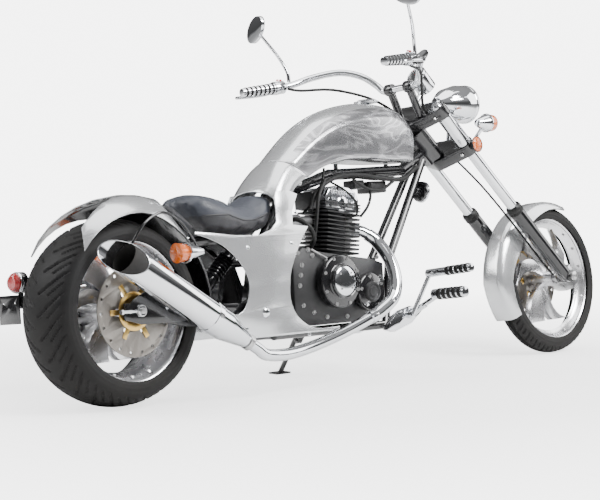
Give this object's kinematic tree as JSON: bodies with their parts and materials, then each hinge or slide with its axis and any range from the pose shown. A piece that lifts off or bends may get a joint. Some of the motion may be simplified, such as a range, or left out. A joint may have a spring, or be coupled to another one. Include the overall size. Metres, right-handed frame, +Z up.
{
  "type": "chopper motorcycle",
  "caption": "Long-fork chopper motorcycle leaning on its side stand: arched tank, low seat, wide rear tyre, slash-cut muffler, turning wheels, steering and folding stand.",
  "frame": {"origin": "on the ground at the middle of the parked, leaning motorcycle's plan box", "axes": "+X forward along the motorcycle, +Y to the rider's left, +Z up"},
  "size_m": [2.7756, 0.867, 1.3948],
  "materials": {
    "black_paint": "gloss",
    "engine_black": "satin",
    "chrome": "polished",
    "cast_alloy": "satin",
    "silver_paint": "metallic gloss",
    "seat_leather": "satin",
    "red_lens": "gloss",
    "orange_lens": "gloss",
    "steel": "satin",
    "wheel_alloy": "satin",
    "tyre": "matt",
    "brass_caliper": "gold anodised",
    "black_rubber": "matt"
  },
  "bodies": {
    "chassis": {"frame": "black_paint", "swingarm": "black_paint", "rear_shock": "black_paint", "crankcase": "engine_black", "cylinder": "engine_black", "head_cover": "chrome", "engine_covers": "chrome", "carburettor": "cast_alloy", "fuel_tank": "silver_paint", "fuel_cap": "chrome", "body_neck": "silver_paint", "body_panel_right": "silver_paint", "body_panel_left": "silver_paint", "seat": "seat_leather", "rear_fender": "silver_paint", "tail_lamp": "red_lens", "plate_bracket": "black_paint", "rear_signals": "orange_lens", "exhaust_header": "chrome", "muffler": "chrome", "foot_controls": "chrome", "rear_axle": "steel", "rear_caliper": "cast_alloy", "drive_chain": "steel"},
    "rear_wheel": {"rear_rim": "wheel_alloy", "rear_tyre": "tyre", "rear_disc": "steel", "rear_sprocket": "steel"},
    "fork": {"fork_tubes": "steel", "fork_sliders": "black_paint", "fork_clamps": "black_paint", "handlebar": "chrome", "hand_controls": "chrome", "mirrors": "chrome", "gauge": "chrome", "headlight": "chrome", "front_signals": "orange_lens", "front_fender": "silver_paint", "front_caliper": "brass_caliper", "front_axle": "steel", "cables": "black_rubber"},
    "front_wheel": {"front_rim": "wheel_alloy", "front_tyre": "tyre", "front_disc": "steel"},
    "side_stand": {"side_stand": "steel"}
  },
  "joints": [
    {"name": "steering", "type": "hinge", "parent": "chassis", "child": "fork", "pos_m": [0.46, -0.03248, 0.82828], "axis": [-0.7193, 0.0738, 0.6907], "range_deg": [-33, 27]},
    {"name": "front_wheel_spin", "type": "hinge", "parent": "fork", "child": "front_wheel", "pos_m": [1.09794, -0.08737, 0.28859], "axis": [-0.0364, 0.989, -0.1436], "continuous": true},
    {"name": "rear_wheel_spin", "type": "hinge", "parent": "chassis", "child": "rear_wheel", "pos_m": [-1.087, -0.08899, 0.29949], "axis": [0, 0.9943, -0.1063], "continuous": true},
    {"name": "side_stand_fold", "type": "hinge", "parent": "chassis", "child": "side_stand", "pos_m": [-0.182, -0.0008, 0.14605], "axis": [0, 0.7138, 0.7003], "range_deg": [0, 100]}
  ]
}
